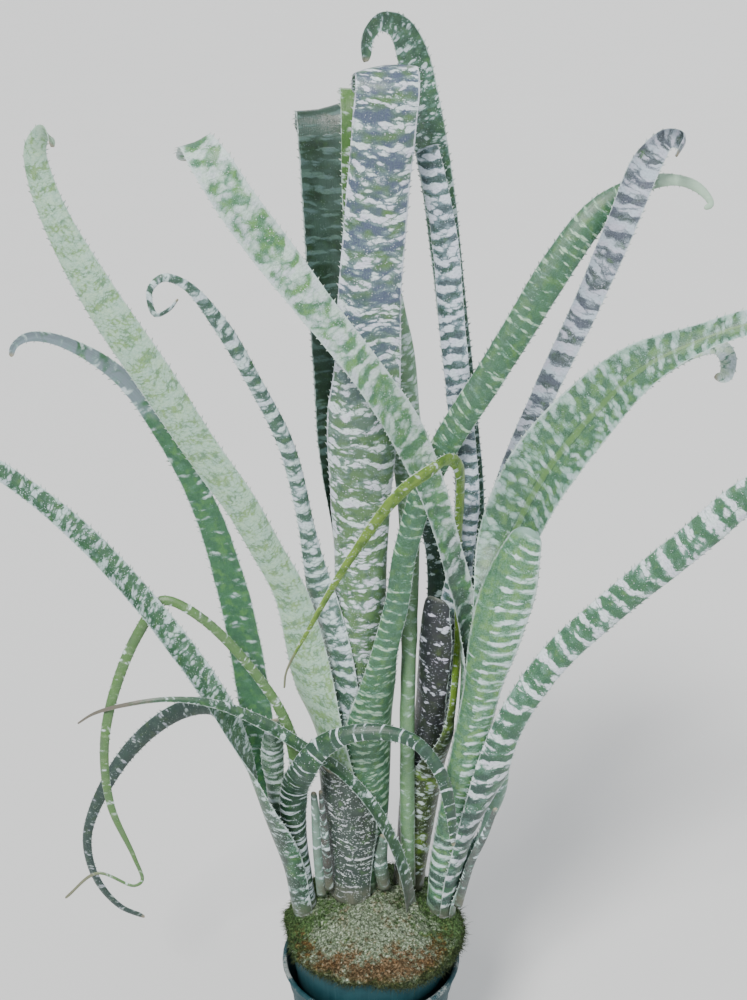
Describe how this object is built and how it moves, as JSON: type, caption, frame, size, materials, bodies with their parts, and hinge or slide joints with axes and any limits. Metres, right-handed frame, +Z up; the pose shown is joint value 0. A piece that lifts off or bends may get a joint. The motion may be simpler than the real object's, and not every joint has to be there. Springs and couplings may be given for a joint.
{
  "type": "potted billbergia rosea",
  "caption": "Clump of tubular bromeliad shoots with long banded, toothed strap leaves, growing from a moss-topped nursery pot that stands in an outer pot.",
  "frame": {"origin": "centre of the outer pot's round foot, on the ground", "axes": "+Z up along the pot's axis and the shoots; the side that faced the viewer is -Y; +X to that viewer's right"},
  "size_m": [0.6762, 0.3105, 0.9033],
  "materials": {
    "dry_sheath_left_a": "dry pale sheath",
    "dry_sheath_left_b": "dry brown-spotted sheath",
    "dry_sheath_right": "dry pinkish sheath",
    "inner_pot": "matte teal plastic",
    "leaf_back_left": "leathery leaf with silver cross bands of scurf",
    "leaf_back_short": "leathery leaf with silver cross bands of scurf",
    "leaf_back_strip": "leathery leaf with silver cross bands of scurf",
    "leaf_blue_banded": "leathery leaf with silver cross bands of scurf",
    "leaf_center_front": "leathery leaf with silver cross bands of scurf",
    "leaf_coiled": "leathery leaf with silver cross bands of scurf",
    "leaf_curled_front": "leathery leaf with silver cross bands of scurf",
    "leaf_folded_center": "leathery leaf with silver cross bands of scurf",
    "leaf_left_bud": "leathery leaf with silver cross bands of scurf",
    "leaf_left_droop": "leathery leaf with silver cross bands of scurf",
    "leaf_left_folded": "leathery leaf with silver cross bands of scurf",
    "leaf_left_green": "leathery leaf with silver cross bands of scurf",
    "leaf_left_tall": "leathery leaf with silver cross bands of scurf",
    "leaf_low_left": "leathery leaf with silver cross bands of scurf",
    "leaf_rear": "leathery leaf with silver cross bands of scurf",
    "leaf_right_arch": "leathery leaf with silver cross bands of scurf",
    "leaf_right_edge": "leathery leaf with silver cross bands of scurf",
    "leaf_right_hanging": "leathery leaf with silver cross bands of scurf",
    "leaf_right_inner": "leathery leaf with silver cross bands of scurf",
    "leaf_right_light": "leathery leaf with silver cross bands of scurf",
    "leaf_right_low": "leathery leaf with silver cross bands of scurf",
    "leaf_right_purple": "leathery leaf with silver cross bands of scurf",
    "leaf_right_short": "leathery leaf with silver cross bands of scurf",
    "leaf_short_bract": "leathery leaf with silver cross bands of scurf",
    "leaf_thin_front": "leathery leaf with silver cross bands of scurf",
    "leaf_top_arch": "leathery leaf with silver cross bands of scurf",
    "leaf_upper_left": "leathery leaf with silver cross bands of scurf",
    "moss": "fibrous moss, green to pale tan",
    "outer_pot": "matte teal plastic with a pale mineral crust on the rim",
    "potting_mix": "dark bark mix",
    "young_shoot_tip": "leathery leaf with silver cross bands of scurf"
  },
  "bodies": {
    "root": {"dry_sheath_left_a": "dry_sheath_left_a", "dry_sheath_left_b": "dry_sheath_left_b", "dry_sheath_right": "dry_sheath_right", "inner_pot": "inner_pot", "leaf_back_left": "leaf_back_left", "leaf_back_short": "leaf_back_short", "leaf_back_strip": "leaf_back_strip", "leaf_blue_banded": "leaf_blue_banded", "leaf_center_front": "leaf_center_front", "leaf_coiled": "leaf_coiled", "leaf_curled_front": "leaf_curled_front", "leaf_folded_center": "leaf_folded_center", "leaf_left_bud": "leaf_left_bud", "leaf_left_droop": "leaf_left_droop", "leaf_left_folded": "leaf_left_folded", "leaf_left_green": "leaf_left_green", "leaf_left_tall": "leaf_left_tall", "leaf_low_left": "leaf_low_left", "leaf_rear": "leaf_rear", "leaf_right_arch": "leaf_right_arch", "leaf_right_edge": "leaf_right_edge", "leaf_right_hanging": "leaf_right_hanging", "leaf_right_inner": "leaf_right_inner", "leaf_right_light": "leaf_right_light", "leaf_right_low": "leaf_right_low", "leaf_right_purple": "leaf_right_purple", "leaf_right_short": "leaf_right_short", "leaf_short_bract": "leaf_short_bract", "leaf_thin_front": "leaf_thin_front", "leaf_top_arch": "leaf_top_arch", "leaf_upper_left": "leaf_upper_left", "moss": "moss", "outer_pot": "outer_pot", "potting_mix": "potting_mix", "young_shoot_tip": "young_shoot_tip"}
  },
  "joints": []
}
